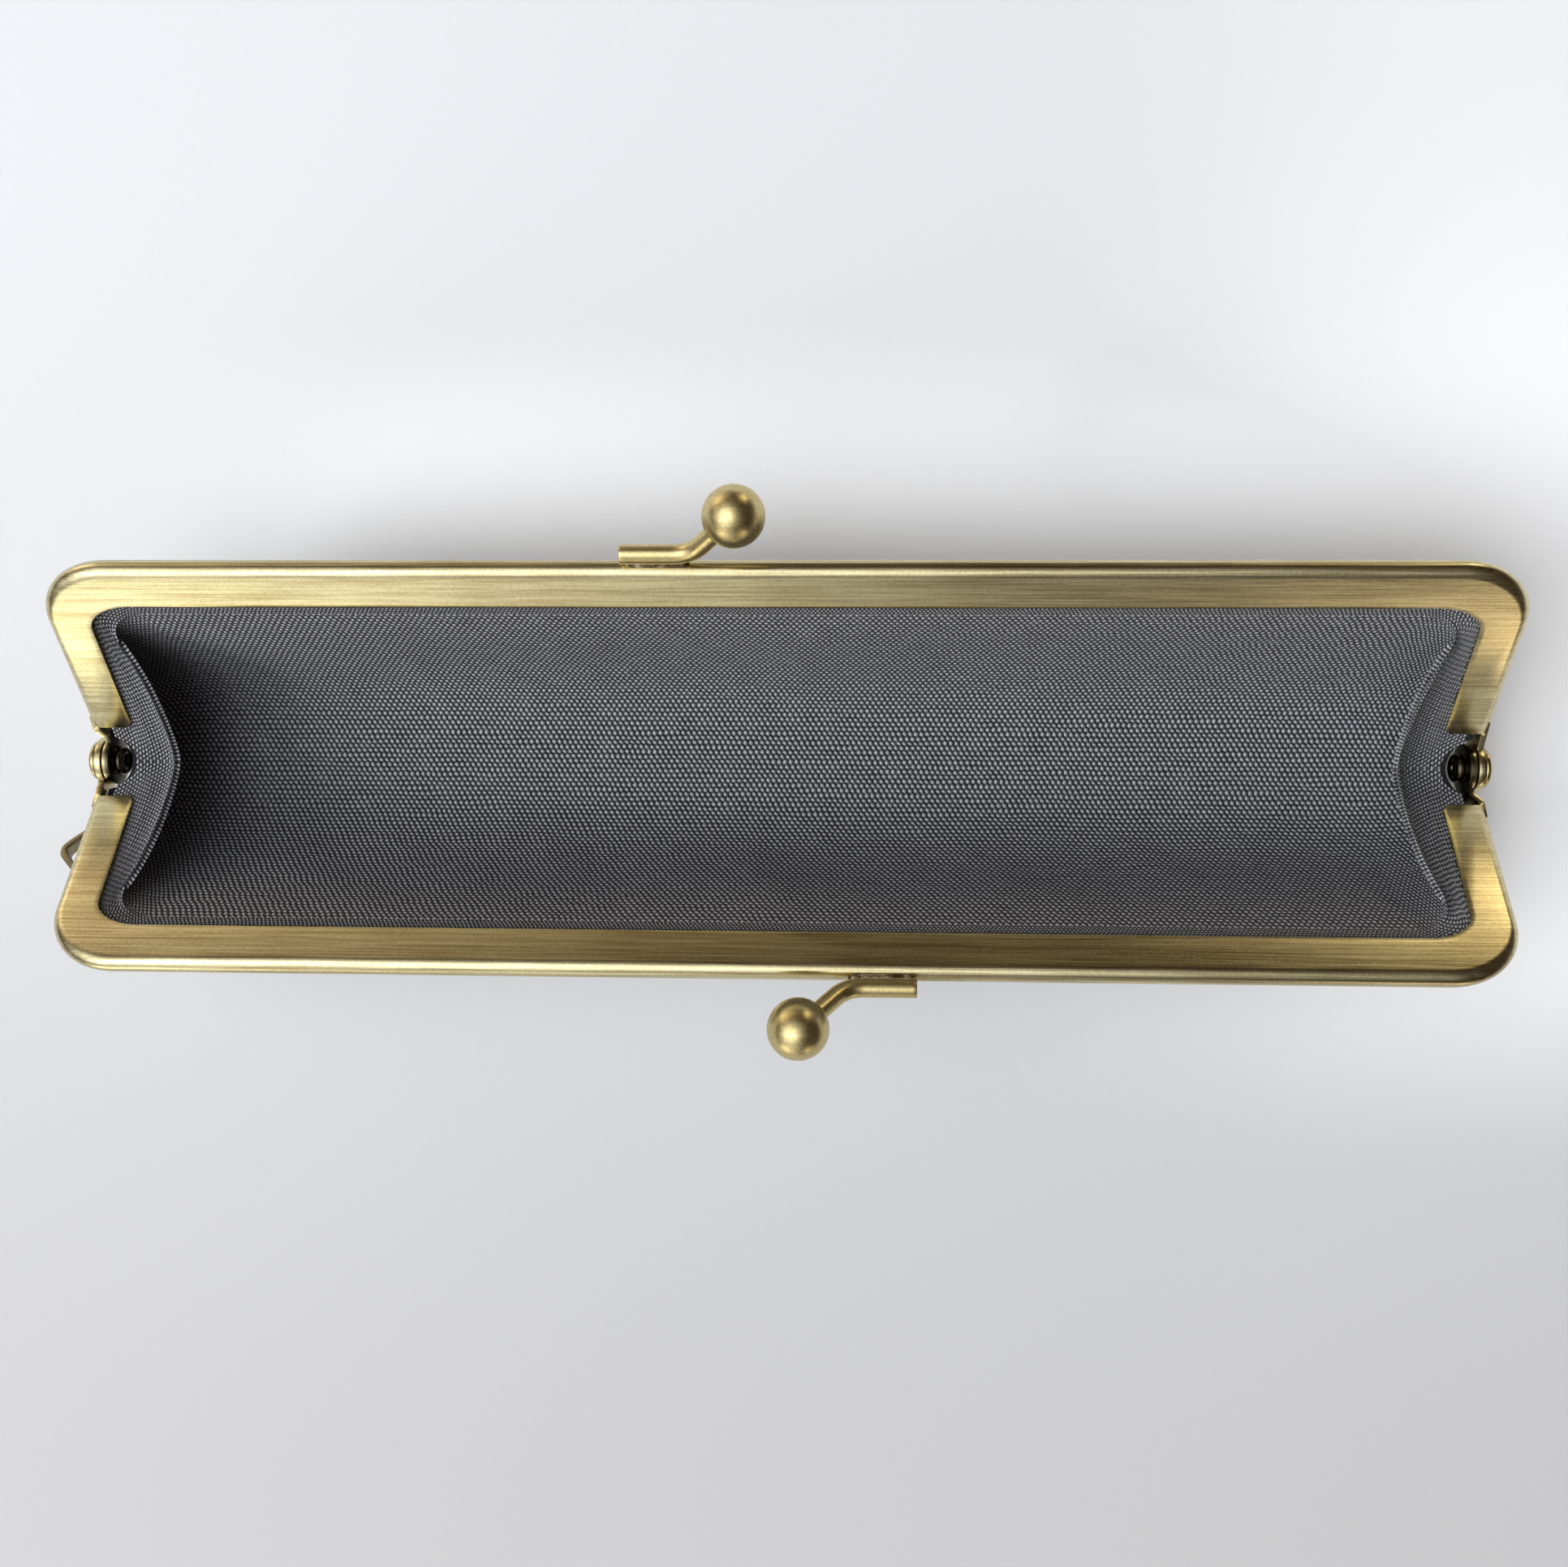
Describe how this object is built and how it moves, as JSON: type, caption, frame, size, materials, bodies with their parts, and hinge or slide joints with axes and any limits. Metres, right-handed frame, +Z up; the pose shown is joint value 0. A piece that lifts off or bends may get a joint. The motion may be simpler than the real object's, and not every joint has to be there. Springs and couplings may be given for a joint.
{
  "type": "pen case",
  "caption": "Slim kiss-lock pen case of dark canvas with a grey lining on a hinged antique-brass snap frame, lying open.",
  "frame": {"origin": "centre of the flat patch of cloth that the case rests on", "axes": "+X along the case, with the strap loop's arm at -X; +Y towards the rear half of the frame; +Z up, out of the mouth"},
  "size_m": [0.1905, 0.068, 0.0384],
  "materials": {
    "antique_brass": "brushed antique brass, satin, with darker edges",
    "rivet_brass": "polished antique brass, darkened in the recesses",
    "clasp_brass": "brushed and part-polished antique brass",
    "dark_brass": "dark bronzed strip",
    "paper_cord": "twisted kraft paper cord",
    "lining_canvas": "mid-grey plain-weave cotton canvas",
    "interlining": "bonded non-woven interlining",
    "outer_canvas": "dark navy plain-weave canvas"
  },
  "bodies": {
    "bag": {"outer_fabric": "outer_canvas", "interlining": "interlining", "lining": "lining_canvas"},
    "rear_frame": {"rear_frame_channel": "antique_brass", "right_rivet": "rivet_brass", "rear_clasp_stem": "clasp_brass", "rear_clasp_ball": "clasp_brass", "rear_paper_cord": "paper_cord"},
    "front_frame": {"front_frame_channel": "antique_brass", "left_rivet": "rivet_brass", "front_clasp_stem": "clasp_brass", "front_clasp_ball": "clasp_brass", "front_paper_cord": "paper_cord", "strap_loop": "dark_brass"}
  },
  "joints": [
    {"name": "rear_hinge", "type": "hinge", "parent": "bag", "child": "rear_frame", "pos_m": [0, 0, 0.0089], "axis": [1, 0, 0], "range_deg": [0, 51], "deforming": ["outer_fabric", "interlining", "lining"]},
    {"name": "front_hinge", "type": "hinge", "parent": "bag", "child": "front_frame", "pos_m": [0, 0, 0.0089], "axis": [1, 0, 0], "range_deg": [-51, 0]}
  ],
  "couplings": [
    {"joint": "front_hinge", "follows": "rear_hinge", "ratio": -1}
  ]
}
